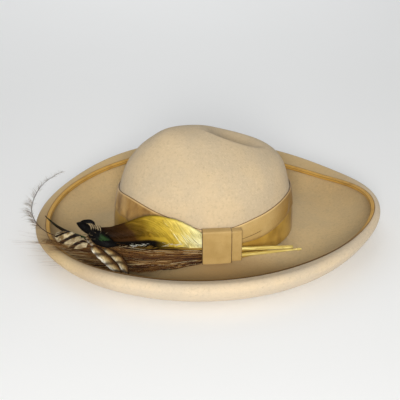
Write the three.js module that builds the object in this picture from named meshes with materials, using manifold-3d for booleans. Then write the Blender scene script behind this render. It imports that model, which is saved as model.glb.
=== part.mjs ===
// Wide-brim felt dress hat, lying on its brim, in millimetres with +Z up.
// X runs along the head, Y across it, and the origin is on the table under the hat's middle.

import * as THREE from 'three';
import { mergeVertices } from 'three/addons/utils/BufferGeometryUtils.js';
import Module from 'manifold-3d';

const wasm = await Module();
wasm.setup();

// Felt body
const feltThickness = 2.5;
const seatGap = 0.3;
const collarGap = 0.5;
const steps = 56;
const headLength = 197;
const headWidth = 167;
const collarHeight = 12;
const headlineLift = 12;
const foldRadius = 3;

// Crown rings from the headline to the tip: height, and inset from the headline towards
// the back (-X), the front (+X), the near side (-Y) and the far side
const crownRings = [
  { lift: 14.6, back: 0, front: 0, near: 0, far: 0 },
  { lift: 36, back: 0.5, front: 0.5, near: 0, far: 0 },
  { lift: 58, back: 4.8, front: 2.2, near: 3, far: 3 },
  { lift: 76, back: 9, front: 6, near: 8, far: 8 },
  { lift: 92, back: 15, front: 11, near: 16, far: 16 },
  { lift: 104, back: 23, front: 21, near: 26, far: 26 },
  { lift: 114, back: 31, front: 36, near: 37, far: 39 },
  { lift: 123, back: 41, front: 55, near: 48, far: 52 },
  { lift: 130, back: 50, front: 74, near: 58, far: 63 },
  { lift: 134.5, back: 58, front: 90, near: 68, far: 73 },
  { lift: 136.5, back: 67, front: 101, near: 78, far: 82 },
];
const tip = { x: -18, y: -2, z: 137 };

// Hollow pressed into the top: its centre, half sizes, depth, how it widens to the front and the height
// it starts at
const dent = { x: 36, y: 6, halfLength: 48, halfWidth: 27, depth: 15.5, flare: 0.3, above: 80 };

// How quickly the hollow's near and far sides fall away, and the shares of its width between which the one
// passes into the other
const dentSides = { near: 1.3, far: 2.3, nearFrom: -0.55, farFrom: 0.25 };

// Brim, measured square to the headline, one row each 30 degrees from +X round by +Y:
// width of the brim, height of the rolled rim, steepness below the rim, width and droop of the turned-in edge
const brimStations = [
  { width: 111, lift: 40, pitch: 64, turnIn: 5, droop: 12 },
  { width: 106, lift: 33, pitch: 66, turnIn: 14, droop: 16 },
  { width: 100, lift: 44, pitch: 70, turnIn: 19, droop: 20 },
  { width: 95, lift: 51, pitch: 72, turnIn: 16, droop: 20 },
  { width: 93, lift: 46, pitch: 70, turnIn: 15, droop: 20 },
  { width: 90, lift: 32, pitch: 66, turnIn: 7, droop: 16 },
  { width: 96, lift: 27, pitch: 62, turnIn: 8, droop: 12 },
  { width: 92, lift: 28, pitch: 64, turnIn: 4.5, droop: 16 },
  { width: 90, lift: 31, pitch: 68, turnIn: 12, droop: 18 },
  { width: 89, lift: 32, pitch: 71, turnIn: 14, droop: 18 },
  { width: 91, lift: 33, pitch: 69, turnIn: 14, droop: 18 },
  { width: 97, lift: 36, pitch: 66, turnIn: 4, droop: 16 },
];
const rollRadius = 5;
const restWidth = 8;

// Where the brim's section is cut: headings round the fold at the collar's foot in degrees, then shares
// of the fall to the flat ring, of the rise behind it, of the roll and of the turned-in edge
const foldHeadings = [-90, -50, -12];
const fallShares = [0.35, 0.7];
const fallPower = 1.6;
const riseShares = [0.3, 0.6, 0.85];
const rollShares = [0, 0.25, 0.5, 0.75, 1];
const flapShares = [0.5, 1];

// Ribbon folded over the brim's edge
const bindingWidth = 3.2;
const bindingThickness = 0.7;

// Satin band, one row each 30 degrees from +X round by +Y: heights of its top edge, its foot and
// the edge of the lap across it, and how far the lapped part stands out
const bandThickness = 1;
const bandEase = 1;
const lapEdge = 1;
const bandStations = [
  { top: 66, foot: 13.8, lap: 50, proud: 1.4 },
  { top: 66, foot: 13.8, lap: 44, proud: 0.6 },
  { top: 66, foot: 13.8, lap: 40, proud: 0.4 },
  { top: 66, foot: 13.8, lap: 40, proud: 0.4 },
  { top: 66, foot: 13.8, lap: 40, proud: 0.4 },
  { top: 66, foot: 13.8, lap: 42, proud: 0.6 },
  { top: 67, foot: 13.8, lap: 44, proud: 1.2 },
  { top: 72, foot: 13.8, lap: 46, proud: 1.2 },
  { top: 64, foot: 13.8, lap: 38, proud: 0.6 },
  { top: 50.8, foot: 13.8, lap: 34, proud: 0 },
  { top: 59, foot: 13.8, lap: 34, proud: 1.2 },
  { top: 66, foot: 13.8, lap: 44, proud: 1.6 },
];

// Keeper loop round the band and the quills, square to the headline at its middle
const keeper = {
  left: -12,
  right: 21,
  top: 54.4,
  bottom: 13.6,
  wall: 1,
  room: 5,
  reachIn: 1.6,
};

// The loop's end, lapped behind its right edge: how far it runs on, how far it is set back, and the
// steps at its top and foot
const keeperEnd = { right: 32, lap: 4, setBack: 0.8, drop: 0.9, lift: 2.5 };

// Feathers: places along each shaft with the width and thickness of the vane there
const goldQuill = [
  { x: 89, y: -93, z: 29, wide: 3.4, thick: 3.4 },
  { x: 32, y: -92.4, z: 29.8, wide: 3.8, thick: 3.8 },
  { x: -14, y: -93, z: 35, wide: 3.4, thick: 3.4 },
  { x: -46, y: -89, z: 36.5, wide: 2.6, thick: 2.6 },
  { x: -67, y: -83, z: 40, wide: 2.2, thick: 2.2 },
  { x: -89, y: -76, z: 42.5, wide: 1.8, thick: 1.8 },
  { x: -116, y: -67, z: 48, wide: 1.2, thick: 1.2 },
];
const goldVane = [
  { x: 4, y: -93.2, z: 37, wide: 8, thick: 2 },
  { x: -14, y: -93, z: 43, wide: 17, thick: 2.2 },
  { x: -30, y: -90, z: 47.5, wide: 27, thick: 2.6 },
  { x: -46, y: -86, z: 50, wide: 33, thick: 2.6 },
  { x: -67, y: -80, z: 53, wide: 31, thick: 2.6 },
  { x: -89, y: -74.5, z: 48.5, wide: 22, thick: 2.4 },
  { x: -106, y: -70, z: 47.5, wide: 14, thick: 2 },
  { x: -124, y: -64, z: 49.5, wide: 4, thick: 1.4 },
];
const bunchQuill = [
  { x: 99, y: -93, z: 26, wide: 1.2, thick: 1.2 },
  { x: 95, y: -93, z: 25.8, wide: 2.4, thick: 2.4 },
  { x: 91, y: -93, z: 25.6, wide: 1.8, thick: 1.8 },
  { x: 60, y: -93, z: 24, wide: 3.6, thick: 3.6 },
  { x: 34, y: -92.8, z: 22.6, wide: 4.4, thick: 4 },
  { x: -10, y: -93.5, z: 22, wide: 4, thick: 3.6 },
];
const bunchCore = [
  { x: 10, y: -93.4, z: 22, wide: 7, thick: 3.4 },
  { x: -14, y: -93.4, z: 23, wide: 14, thick: 3.8 },
  { x: -36, y: -92.6, z: 22.5, wide: 17, thick: 6.6 },
  { x: -68, y: -86, z: 21.5, wide: 16, thick: 9 },
  { x: -100, y: -79, z: 20, wide: 14, thick: 8 },
  { x: -128, y: -71, z: 20, wide: 10, thick: 7 },
  { x: -150, y: -63, z: 22, wide: 5, thick: 4 },
];
// Locks of the bunch: each leaves the core, passes over one place and ends in a point
const lockShape = {
  rootX: -30,
  rootY: -92.6,
  rootShare: 0.7,
  rootThick: 3,
  overThick: 3.4,
  tipWide: 1.4,
  tipThick: 1,
};
const bunchLocks = [
  { rootZ: 26, overX: -80, overY: -81, overZ: 25, tipX: -142, tipY: -61, tipZ: 30, wide: 8 },
  { rootZ: 24, overX: -80, overY: -88, overZ: 25, tipX: -179, tipY: -62, tipZ: 35, wide: 7 },
  { rootZ: 22, overX: -80, overY: -88, overZ: 20, tipX: -160, tipY: -66, tipZ: 27, wide: 7 },
  { rootZ: 21, overX: -80, overY: -90, overZ: 16, tipX: -150, tipY: -75, tipZ: 16, wide: 7 },
  { rootZ: 20, overX: -80, overY: -92, overZ: 14, tipX: -134, tipY: -85, tipZ: 12, wide: 6 },
  { rootZ: 19, overX: -70, overY: -94, overZ: 13, tipX: -114, tipY: -92, tipZ: 10.5, wide: 6 },
  { rootZ: 18, overX: -55, overY: -94, overZ: 14, tipX: -92, tipY: -93, tipZ: 10, wide: 6 },
  { rootZ: 17, overX: -44, overY: -93, overZ: 14, tipX: -68, tipY: -95, tipZ: 10, wide: 5 },
];
const blackVane = [
  { x: -62, y: -88, z: 24, wide: 2.4, thick: 2 },
  { x: -80, y: -85, z: 29, wide: 5, thick: 2 },
  { x: -92, y: -80.5, z: 33, wide: 9, thick: 2 },
  { x: -113, y: -74, z: 35, wide: 14, thick: 2.4 },
  { x: -126, y: -70, z: 36, wide: 15, thick: 2.4 },
  { x: -137, y: -66, z: 39.5, wide: 11, thick: 2.2 },
  { x: -142, y: -63, z: 46, wide: 9, thick: 2 },
  { x: -138, y: -62, z: 53, wide: 8, thick: 2 },
  { x: -130, y: -63, z: 55.5, wide: 4, thick: 1.4 },
];
const barredVanes = [
  [
    { x: -133, y: -69.5, z: 21, wide: 2.2, thick: 2 },
    { x: -137, y: -68, z: 28, wide: 8, thick: 2 },
    { x: -145, y: -64, z: 32, wide: 14, thick: 2 },
    { x: -154, y: -60, z: 34.5, wide: 15, thick: 2 },
    { x: -163, y: -56, z: 36, wide: 12, thick: 1.8 },
    { x: -171, y: -51, z: 36, wide: 4, thick: 1.2 },
  ],
  [
    { x: -124, y: -72.5, z: 21, wide: 2.2, thick: 2 },
    { x: -125, y: -77, z: 28, wide: 6, thick: 2 },
    { x: -118, y: -88, z: 27.5, wide: 9, thick: 2 },
    { x: -111, y: -100, z: 24.5, wide: 9, thick: 2 },
    { x: -104, y: -112, z: 20, wide: 4, thick: 1.2 },
  ],
  [
    { x: -105, y: -77.5, z: 21, wide: 2.2, thick: 2 },
    { x: -107, y: -82, z: 28, wide: 6, thick: 2 },
    { x: -103, y: -94, z: 27, wide: 9, thick: 2 },
    { x: -99, y: -107, z: 24, wide: 9, thick: 2 },
    { x: -94, y: -119.5, z: 20, wide: 4, thick: 1.2 },
  ],
];
const spikeShaft = [
  { x: -98, y: -78, z: 21, wide: 2, thick: 2 },
  { x: -118, y: -66.5, z: 25, wide: 2.4, thick: 2 },
  { x: -142, y: -50, z: 29.5, wide: 3, thick: 2 },
  { x: -165, y: -35, z: 32.5, wide: 4, thick: 2 },
  { x: -175, y: -23, z: 36.5, wide: 2.4, thick: 1.6 },
  { x: -184, y: -11, z: 40.5, wide: 1, thick: 1 },
];
const wispShaft = [
  { x: -112, y: -71.5, z: 27, wide: 1.6, thick: 1.6 },
  { x: -130, y: -65.5, z: 29, wide: 1.6, thick: 1.6 },
  { x: -150, y: -57.5, z: 31, wide: 1.6, thick: 1.6 },
  { x: -177, y: -45, z: 32.5, wide: 2.4, thick: 1.4 },
  { x: -194, y: -22, z: 36.5, wide: 5, thick: 1.2 },
  { x: -201.5, y: 4, z: 44, wide: 6, thick: 1.2 },
  { x: -191, y: 34, z: 55, wide: 4, thick: 1 },
  { x: -164, y: 64, z: 62, wide: 1, thick: 0.8 },
];
// Ways that the flat sides look: of the upright vanes, of those laid on the brim and of the bunch
const vaneFace = new THREE.Vector3(-0.25, -1, 0.25);
const layFace = new THREE.Vector3(0, -0.5, 0.85);
const bunchFace = new THREE.Vector3(-0.15, -1, 0);
const shaftSides = 6;
const rootGap = 0.35;

// Stretches that each strip is cut into
const cuts = {
  goldVane: 14,
  goldQuill: 12,
  core: 9,
  quill: 7,
  lock: 4,
  black: 11,
  barred: 9,
  spike: 9,
  wisp: 16,
};

const hatColours = {
  felt: { color: 0xd8c198, roughness: 0.95, metalness: 0 },
  satin: { color: 0xb98f4e, roughness: 0.45, metalness: 0 },
  binding: { color: 0xa37a45, roughness: 0.5, metalness: 0 },
  goldFeather: { color: 0xb59a4a, roughness: 0.5, metalness: 0 },
  bristle: { color: 0x5c4030, roughness: 0.7, metalness: 0 },
  blackFeather: { color: 0x1c1a18, roughness: 0.4, metalness: 0 },
  barredFeather: { color: 0xc9b48c, roughness: 0.7, metalness: 0 },
};

// The tables measure from the middle of the head; this sets the whole outline's middle over the origin
const centring = { x: -3.3, y: -3 };
const hat = new THREE.Group();
hat.position.set(centring.x, centring.y, 0);

function addPiece(name, geometry, colour) {
  const mesh = new THREE.Mesh(geometry, new THREE.MeshStandardMaterial(hatColours[colour]));
  mesh.name = name;
  hat.add(mesh);
}

// One column of a table that goes once round, smooth between its rows
function around(rows, column, turn) {
  const place = THREE.MathUtils.euclideanModulo(turn / (2 * Math.PI), 1) * rows.length;
  const row = Math.floor(place);
  const t = place - row;
  const at = (offset) => rows[(row + offset + rows.length) % rows.length][column];
  const slopeHere = (at(1) - at(-1)) / 2;
  const slopeNext = (at(2) - at(0)) / 2;
  const rise = at(1) - at(0);
  return at(0) + slopeHere * t + (3 * rise - 2 * slopeHere - slopeNext) * t ** 2
    + (slopeHere + slopeNext - 2 * rise) * t ** 3;
}

// Closed body from loops of points, each loop joined to the next, with both ends closed or the ring shut
function skin(loops, shut) {
  const places = loops.flat().flatMap((point) => point.toArray());
  const sides = loops[0].length;
  const index = [];
  const bands = shut ? loops.length : loops.length - 1;
  for (let row = 0; row < bands; row += 1) {
    const next = (row + 1) % loops.length;
    for (let side = 0; side < sides; side += 1) {
      const other = (side + 1) % sides;
      const a = row * sides + side;
      const b = row * sides + other;
      const c = next * sides + other;
      const d = next * sides + side;
      index.push(a, b, c, a, c, d);
    }
  }
  if (!shut) {
    const last = (loops.length - 1) * sides;
    for (let side = 1; side < sides - 1; side += 1) {
      index.push(0, side + 1, side);
      index.push(last, last + side, last + side + 1);
    }
  }
  const geometry = new THREE.BufferGeometry();
  geometry.setAttribute('position', new THREE.Float32BufferAttribute(places, 3));
  geometry.setIndex(index);
  return dropSlivers(mergeVertices(geometry, 1e-4));
}

// Triangles that close to a line at a pole are left out
function dropSlivers(geometry) {
  const index = geometry.getIndex().array;
  const kept = [];
  for (let i = 0; i < index.length; i += 3) {
    const [a, b, c] = [index[i], index[i + 1], index[i + 2]];
    if (a !== b && b !== c && c !== a) {
      kept.push(a, b, c);
    }
  }
  geometry.setIndex(kept);
  return geometry;
}

const turns = Array.from({ length: steps }, (_, i) => (2 * Math.PI * i) / steps);

// Outside half sizes of the head opening, the brim's collar and the crown that slips over it
const collarLong = headLength / 2 + feltThickness;
const collarWide = headWidth / 2 + feltThickness;
const crownLong = collarLong + collarGap + feltThickness;
const crownWide = collarWide + collarGap + feltThickness;

function crownPoint(ring, turn) {
  const x = (ring.back - ring.front) / 2 + (crownLong - (ring.back + ring.front) / 2) * Math.cos(turn);
  const y = (ring.near - ring.far) / 2 + (crownWide - (ring.near + ring.far) / 2) * Math.sin(turn);
  return new THREE.Vector3(x, y, ring.lift - dentDepth(x, y, ring.lift));
}

function dentDepth(x, y, z) {
  const along = (x - dent.x) / dent.halfLength;
  const across = (y - dent.y) / (dent.halfWidth * (1 + dent.flare * along));
  const reach = along ** 2 + across ** 2;
  if (reach > 1 || z < dent.above) {
    return 0;
  }
  const farShare = THREE.MathUtils.smoothstep(across, dentSides.nearFrom, dentSides.farFrom);
  return dent.depth * (1 - reach) ** THREE.MathUtils.lerp(dentSides.near, dentSides.far, farShare);
}

function crownShell() {
  const outside = crownRings.map((ring) => turns.map((turn) => crownPoint(ring, turn)));
  const peak = new THREE.Vector3(tip.x, tip.y, tip.z);
  const inside = outside.map((loop, row) => loop.map((point, i) => {
    const before = loop[(i + steps - 1) % steps];
    const after = loop[(i + 1) % steps];
    const below = outside[Math.max(row - 1, 0)][i];
    const above = row + 1 < outside.length ? outside[row + 1][i] : peak;
    const along = new THREE.Vector3().subVectors(after, before);
    const up = new THREE.Vector3().subVectors(above, below);
    const out = along.cross(up).normalize();
    return point.clone().addScaledVector(out, -feltThickness);
  }));
  const edge = inside[0];
  edge.forEach((point) => {
    point.z = crownRings[0].lift;
  });
  const top = turns.map(() => peak.clone());
  const ceiling = turns.map(() => peak.clone().setZ(peak.z - feltThickness));
  return skin([ceiling, ...inside.slice().reverse(), ...outside, top], false);
}

// Middle line of the brim's felt at one place, as steps out from the collar with the way it heads
function brimLine(turn) {
  const station = (column) => around(brimStations, column, turn);
  const half = feltThickness / 2;
  const line = [];
  const add = (out, up, heading) => line.push({ out, up, heading });
  add(0, headlineLift + collarHeight, -90);
  for (const heading of foldHeadings) {
    const bend = THREE.MathUtils.degToRad(heading);
    add(foldRadius * (1 + Math.sin(bend)), headlineLift + foldRadius * (1 - Math.cos(bend)), heading);
  }
  const pitch = THREE.MathUtils.degToRad(station('pitch'));
  const middleOut = station('width') - rollRadius - half;
  const middleUp = station('lift') - rollRadius - half;
  const riseTop = middleUp - rollRadius * Math.cos(pitch);
  const riseRadius = (riseTop - half) / (1 - Math.cos(pitch));
  const restEnd = middleOut + rollRadius * Math.sin(pitch) - riseRadius * Math.sin(pitch);
  const restStart = restEnd - restWidth;
  const foot = line[line.length - 1];
  const fall = foot.up - half;
  const run = restStart - foot.out;
  for (const share of fallShares) {
    const slope = fallPower * fall * (1 - share) ** (fallPower - 1) / run;
    const up = half + fall * (1 - share) ** fallPower;
    add(foot.out + share * run, up, -THREE.MathUtils.radToDeg(Math.atan(slope)));
  }
  add(restStart, half, 0);
  add(restEnd, half, 0);
  for (const share of riseShares) {
    const heading = share * pitch;
    add(restEnd + riseRadius * Math.sin(heading), half + riseRadius * (1 - Math.cos(heading)),
      THREE.MathUtils.radToDeg(heading));
  }
  const inward = THREE.MathUtils.degToRad(180 + station('droop'));
  for (const share of rollShares) {
    const heading = pitch + share * (inward - pitch);
    add(middleOut + rollRadius * Math.sin(heading), middleUp - rollRadius * Math.cos(heading),
      THREE.MathUtils.radToDeg(heading));
  }
  const turned = line[line.length - 1];
  const flap = station('turnIn');
  for (const share of flapShares) {
    const reach = share * flap;
    add(turned.out + reach * Math.cos(inward), turned.up + reach * Math.sin(inward), turned.heading);
  }
  return line;
}

// A place square to the headline at one turn
function brimPoint(turn, out, up) {
  const normal = new THREE.Vector2(Math.cos(turn) / collarLong, Math.sin(turn) / collarWide).normalize();
  const reach = out - feltThickness / 2;
  const x = collarLong * Math.cos(turn) + reach * normal.x;
  const y = collarWide * Math.sin(turn) + reach * normal.y;
  return new THREE.Vector3(x, y, up);
}

// A place on one side of the felt's middle line
function beside(step, distance) {
  const heading = THREE.MathUtils.degToRad(step.heading);
  return { out: step.out - distance * Math.sin(heading), up: step.up + distance * Math.cos(heading) };
}

function brimShell() {
  const loops = turns.map((turn) => {
    const line = brimLine(turn);
    const upper = line.map((step) => beside(step, feltThickness / 2));
    const lower = line.map((step) => beside(step, -feltThickness / 2)).reverse();
    return [...upper, ...lower].map((place) => brimPoint(turn, place.out, place.up));
  });
  return skin(loops, true);
}

function bindingStrip() {
  const loops = turns.map((turn) => {
    const line = brimLine(turn);
    const edge = line[line.length - 1];
    const heading = THREE.MathUtils.degToRad(edge.heading);
    const along = (distance) => ({
      out: edge.out + distance * Math.cos(heading),
      up: edge.up + distance * Math.sin(heading),
      heading: edge.heading,
    });
    const inner = feltThickness / 2 + seatGap;
    const outer = inner + bindingThickness;
    const start = along(-bindingWidth);
    const end = along(seatGap);
    const nose = along(seatGap + bindingThickness);
    const section = [
      beside(start, outer), beside(end, outer), beside(nose, outer / 2), beside(nose, -outer / 2),
      beside(end, -outer), beside(start, -outer),
      beside(start, -inner), beside(end, -inner), beside(end, inner), beside(start, inner),
    ];
    return section.map((place) => brimPoint(turn, place.out, place.up));
  });
  return skin(loops, true);
}

// Crown's outside at any height of its wall
function wallPoint(turn, lift, proud) {
  const upper = Math.max(1, crownRings.findIndex((ring) => ring.lift > lift));
  const next = crownPoint(crownRings[upper], turn);
  const last = crownPoint(crownRings[upper - 1], turn);
  const share = (lift - last.z) / (next.z - last.z);
  const point = last.lerp(next, share);
  point.x += proud * Math.cos(turn);
  point.y += proud * Math.sin(turn);
  return point;
}

function bandShell() {
  const loops = turns.map((turn) => {
    const station = (column) => around(bandStations, column, turn);
    const [top, foot, lap, proud] = ['top', 'foot', 'lap', 'proud'].map(station);
    const rows = [
      [foot, 0],
      [(foot + lap) / 2, 0],
      [lap, 0],
      [lap + lapEdge, proud],
      [(lap + top) / 2, proud],
      [top, 0],
    ];
    const inner = rows.map(([lift]) => wallPoint(turn, lift, bandEase));
    const outer = rows.map(([lift, out]) => wallPoint(turn, lift, bandEase + bandThickness + out));
    return [...inner, ...outer.reverse()];
  });
  return skin(loops, true);
}

// Loops round a tapered strip that follows a route with its flat side to the face; fat makes it bigger
function stripLoops(rows, face, parts, fat) {
  const places = rows.map((row) => new THREE.Vector3(row.x, row.y, row.z));
  const route = new THREE.CatmullRomCurve3(places);
  const loops = [];
  for (let cut = 0; cut <= parts; cut += 1) {
    const t = cut / parts;
    const place = t * (rows.length - 1);
    const row = Math.min(Math.floor(place), rows.length - 2);
    const { lerp } = THREE.MathUtils;
    const size = (column) => lerp(rows[row][column], rows[row + 1][column], place - row) / 2 + fat;
    const middle = route.getPoint(t);
    const along = route.getTangent(t);
    if (cut === 0 || cut === parts) {
      middle.addScaledVector(along, cut === 0 ? -fat : fat);
    }
    const across = new THREE.Vector3().crossVectors(along, face).normalize();
    const out = new THREE.Vector3().crossVectors(across, along).normalize();
    loops.push(Array.from({ length: shaftSides }, (_, side) => {
      const angle = (2 * Math.PI * side) / shaftSides;
      return middle.clone()
        .addScaledVector(across, size('wide') * Math.cos(angle))
        .addScaledVector(out, -size('thick') * Math.sin(angle));
    }));
  }
  return loops;
}

function strip(rows, face, parts) {
  return skin(stripLoops(rows, face, parts, 0), false);
}

// Room that a rooted feather needs in what holds it
function rootRoom(rows, face, parts) {
  const loops = stripLoops(rows, face, parts, rootGap);
  const links = loops.slice(1).map((loop, i) => {
    const corners = [...loops[i], ...loop].map((corner) => corner.toArray());
    return wasm.Manifold.hull(corners);
  });
  return wasm.Manifold.union(links);
}

function toSolid(geometry) {
  const merged = mergeVertices(geometry.clone().deleteAttribute('normal').deleteAttribute('uv'));
  return new wasm.Manifold(new wasm.Mesh({
    numProp: 3,
    vertProperties: merged.getAttribute('position').array,
    triVerts: Uint32Array.from(merged.getIndex().array),
  }));
}

function toGeometry(solid) {
  const mesh = solid.getMesh();
  const geometry = new THREE.BufferGeometry();
  geometry.setAttribute('position', new THREE.BufferAttribute(mesh.vertProperties, 3));
  geometry.setIndex(new THREE.BufferAttribute(mesh.triVerts, 1));
  return geometry;
}

// Ribbon loop: an open C seen from the side, closed behind by the band, with its lapped end beside it
function keeperLoop() {
  const outer = crownWide + bandEase + bandThickness + keeper.room + keeper.wall;
  const inner = outer - keeper.wall;
  const panel = ribbonLoop(outer, inner, keeper.top, keeper.bottom, keeper.right - keeper.left);
  const end = ribbonLoop(outer - keeperEnd.setBack, inner - keeperEnd.setBack, keeper.top - keeperEnd.drop,
    keeper.bottom + keeperEnd.lift, keeperEnd.right - keeper.right + keeperEnd.lap);
  panel.translate(keeper.right, 0, 0);
  end.translate(keeperEnd.right, 0, 0);
  return toGeometry(toSolid(panel).add(toSolid(end)));
}

// C section of a ribbon loop, drawn as distance from the middle of the hat against height
function ribbonLoop(outer, inner, top, bottom, length) {
  const wall = outer - inner;
  const overTop = crownWide - keeper.reachIn;
  const underFoot = crownWide + bandEase + bandThickness + seatGap;
  const section = new THREE.Shape();
  section.moveTo(overTop, top - wall);
  section.lineTo(inner, top - wall);
  section.lineTo(inner, bottom + wall);
  section.lineTo(underFoot, bottom + wall);
  section.lineTo(underFoot, bottom);
  section.lineTo(outer - wall, bottom);
  section.lineTo(outer, bottom + wall);
  section.lineTo(outer, top - 2 * wall);
  section.lineTo(outer - wall, top);
  section.lineTo(overTop, top);
  const geometry = new THREE.ExtrudeGeometry(section, { depth: length, bevelEnabled: false });
  geometry.rotateX(Math.PI / 2);
  geometry.rotateZ(-Math.PI / 2);
  return geometry;
}

// Feathers whose roots are in the bunch
const barred = { face: layFace, parts: cuts.barred, colour: 'barredFeather' };
const rooted = [
  { name: 'black_feather', rows: blackVane, face: vaneFace, parts: cuts.black, colour: 'blackFeather' },
  { name: 'barred_feather_1', rows: barredVanes[0], ...barred },
  { name: 'barred_feather_2', rows: barredVanes[1], ...barred },
  { name: 'barred_feather_3', rows: barredVanes[2], ...barred },
  { name: 'spike_feather', rows: spikeShaft, face: layFace, parts: cuts.spike, colour: 'blackFeather' },
  { name: 'curled_wisp', rows: wispShaft, face: layFace, parts: cuts.wisp, colour: 'bristle' },
];

function lockRows(lock) {
  const { rootX, rootY, rootShare, rootThick, overThick, tipWide, tipThick } = lockShape;
  return [
    { x: rootX, y: rootY, z: lock.rootZ, wide: lock.wide * rootShare, thick: rootThick },
    { x: lock.overX, y: lock.overY, z: lock.overZ, wide: lock.wide, thick: overThick },
    { x: lock.tipX, y: lock.tipY, z: lock.tipZ, wide: tipWide, thick: tipThick },
  ];
}

function bunch() {
  const core = toSolid(strip(bunchCore, bunchFace, cuts.core));
  const quill = toSolid(strip(bunchQuill, bunchFace, cuts.quill));
  const locks = bunchLocks.map((lock) => toSolid(strip(lockRows(lock), bunchFace, cuts.lock)));
  const rooms = rooted.map(({ rows, face, parts }) => rootRoom(rows, face, parts));
  const solid = wasm.Manifold.union([core, quill, ...locks]).subtract(wasm.Manifold.union(rooms));
  const bodies = solid.decompose().sort((a, b) => b.volume() - a.volume());
  return toGeometry(bodies[0]);
}

function goldFeather() {
  const vane = toSolid(strip(goldVane, vaneFace, cuts.goldVane));
  const quill = toSolid(strip(goldQuill, vaneFace, cuts.goldQuill));
  return toGeometry(vane.add(quill));
}

addPiece('crown', crownShell(), 'felt');
addPiece('brim', brimShell(), 'felt');
addPiece('brim_binding', bindingStrip(), 'binding');
addPiece('band', bandShell(), 'satin');
addPiece('band_keeper', keeperLoop(), 'satin');
addPiece('gold_feather', goldFeather(), 'goldFeather');
addPiece('bristle_bunch', bunch(), 'bristle');
for (const { name, rows, face, parts, colour } of rooted) {
  addPiece(name, strip(rows, face, parts), colour);
}

export default hat;
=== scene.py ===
import math
import random

import bmesh
import bpy
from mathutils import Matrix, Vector, noise


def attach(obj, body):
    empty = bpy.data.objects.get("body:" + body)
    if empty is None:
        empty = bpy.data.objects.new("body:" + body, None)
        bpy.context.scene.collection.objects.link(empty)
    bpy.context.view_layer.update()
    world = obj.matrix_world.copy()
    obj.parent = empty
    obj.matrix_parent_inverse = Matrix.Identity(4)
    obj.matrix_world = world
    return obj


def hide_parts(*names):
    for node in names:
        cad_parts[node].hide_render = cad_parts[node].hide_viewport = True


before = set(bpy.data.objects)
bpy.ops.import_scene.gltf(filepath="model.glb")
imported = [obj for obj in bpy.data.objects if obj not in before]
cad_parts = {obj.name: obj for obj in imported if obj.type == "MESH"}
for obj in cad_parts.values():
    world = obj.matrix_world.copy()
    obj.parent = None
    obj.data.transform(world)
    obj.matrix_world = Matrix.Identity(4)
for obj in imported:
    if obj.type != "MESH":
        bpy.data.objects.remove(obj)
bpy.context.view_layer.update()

# Shapes are worked out in millimetres from the middle of the head and set down in metres
mm = 0.001
headMiddle = Vector((-3.3, -3.0, 0.0))
fullTurn = 2 * math.pi
draw = random.Random(57)
feltThickness = 2.5
pointMarks = ("along", "across", "tone")  # what every point of a feather knows


def place(point):
    return (Vector(point) + headMiddle) * mm


def vectors(rows):
    return [Vector(row[:3]) for row in rows]


def drawn(*ranges):
    return Vector([draw.uniform(*limits) for limits in ranges])


def mix(a, b, share):
    return a + (b - a) * share


def smoothStep(low, high, value):
    t = min(max((value - low) / (high - low), 0.0), 1.0)
    return t * t * (3 - 2 * t)


def bump(value, middle, width):
    return math.exp(-((value - middle) / width) ** 2)


def onCurve(points, share):
    # smooth curve through points or plain numbers, share from 0 to 1
    spot = min(max(share, 0.0), 1.0) * (len(points) - 1)
    i = min(int(spot), len(points) - 2)
    s = spot - i
    b, c = points[i], points[i + 1]
    a = points[i - 1] if i else b * 2 - c
    d = points[i + 2] if i + 2 < len(points) else c * 2 - b
    bend = (a * 2 - b * 5 + c * 4 - d) * (s * s)
    twist = (b * 3 - c * 3 + d - a) * (s * s * s)
    return (b * 2 + (c - a) * s + bend + twist) * 0.5


def around(rows, column, turn):
    # one column of a table that goes once round the head
    spot = (turn / fullTurn) % 1.0 * len(rows)
    i = int(spot)
    t = spot - i
    at = [rows[(i + k) % len(rows)][column] for k in (-1, 0, 1, 2)]
    slopeHere, slopeNext, rise = (at[2] - at[0]) / 2, (at[3] - at[1]) / 2, at[2] - at[1]
    return (at[1] + slopeHere * t + (3 * rise - 2 * slopeHere - slopeNext) * t ** 2
            + (slopeHere + slopeNext - 2 * rise) * t ** 3)


def tint(red, green, blue):
    # screen colour 0 to 255 to the shader's linear one
    return tuple(((c / 255 + 0.055) / 1.055) ** 2.4 if c > 10 else c / 255 / 12.92
                 for c in (red, green, blue))


class Value:
    # a shader socket that takes part in sums
    def __init__(self, finish, socket):
        self.finish, self.socket = finish, socket

    def sum(self, operation, *values):
        return self.finish.add("ShaderNodeMath", {"operation": operation}, dict(enumerate(values)))

    def __add__(self, other):
        return self.sum("ADD", self, other)

    def __sub__(self, other):
        return self.sum("SUBTRACT", self, other)

    def __rsub__(self, other):
        return self.sum("SUBTRACT", other, self)

    def __mul__(self, other):
        return self.sum("MULTIPLY", self, other)

    def __truediv__(self, other):
        return self.sum("DIVIDE", self, other)

    def __pow__(self, other):
        return self.sum("POWER", self, other)

    __radd__, __rmul__ = __add__, __mul__

    def sine(self):
        return self.sum("SINE", self)

    def size(self):
        return self.sum("ABSOLUTE", self)

    def over(self, other):
        return self.sum("GREATER_THAN", self, other)

    def larger(self, other):
        return self.sum("MAXIMUM", self, other)

    def between(self, low, high):
        # 0 at low, 1 at high, eased
        return self.finish.add("ShaderNodeMapRange", {"interpolation_type": "SMOOTHSTEP"},
                               {"Value": self, "From Min": low, "From Max": high})


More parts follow.
